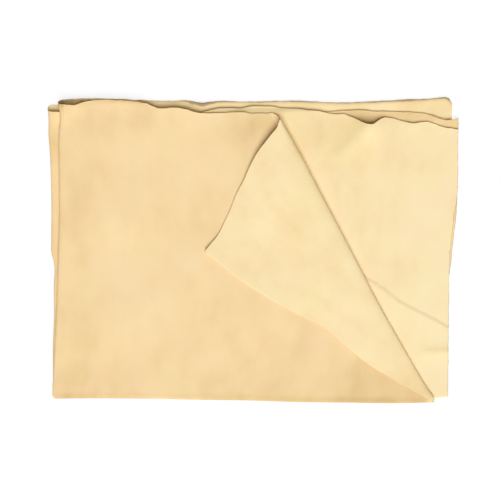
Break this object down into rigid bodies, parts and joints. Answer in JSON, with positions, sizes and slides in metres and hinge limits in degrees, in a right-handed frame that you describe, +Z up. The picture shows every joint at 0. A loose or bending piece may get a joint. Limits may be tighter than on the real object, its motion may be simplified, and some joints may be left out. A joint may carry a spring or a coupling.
{
  "type": "chamois leather",
  "caption": "Trimmed chamois leather for drying and polishing, lying folded side to side and end to end, with a corner of its top layer turned back.",
  "frame": {"origin": "on the table, under the middle of the folded pack's box", "axes": "+X along the end folds, away from the side folds; +Y from the end folds to the cut back edges; +Z up"},
  "size_m": [0.362, 0.2689, 0.0117],
  "materials": {
    "chamois_peach": "napped suede, matt, peach outer face",
    "chamois_cream": "napped suede, matt, cream inner face"
  },
  "bodies": {
    "lower_half": {"bottom_panel": "chamois_peach", "third_panel": "chamois_peach", "lower_side_fold": "chamois_peach", "outer_end_fold": "chamois_peach", "inner_end_fold": "chamois_cream", "folded_corner": "chamois_peach"},
    "upper_half": {"top_panel": "chamois_peach", "second_panel": "chamois_cream", "upper_side_fold": "chamois_peach", "corner_roll": "chamois_cream"},
    "corner": {"turned_corner": "chamois_cream"}
  },
  "joints": [
    {"name": "end_fold", "type": "hinge", "parent": "lower_half", "child": "upper_half", "pos_m": [0, -0.1303, 0.0027], "axis": [0.9999, -0.0105, 0], "range_deg": [0, 178.5], "deforming": ["outer_end_fold", "inner_end_fold", "folded_corner"]},
    {"name": "corner_fold", "type": "hinge", "parent": "upper_half", "child": "corner", "pos_m": [0.09071, -0.00729, 0.00695], "axis": [-0.4782, 0.8782, 0.0066], "range_deg": [0, 178], "deforming": ["corner_roll"]}
  ]
}
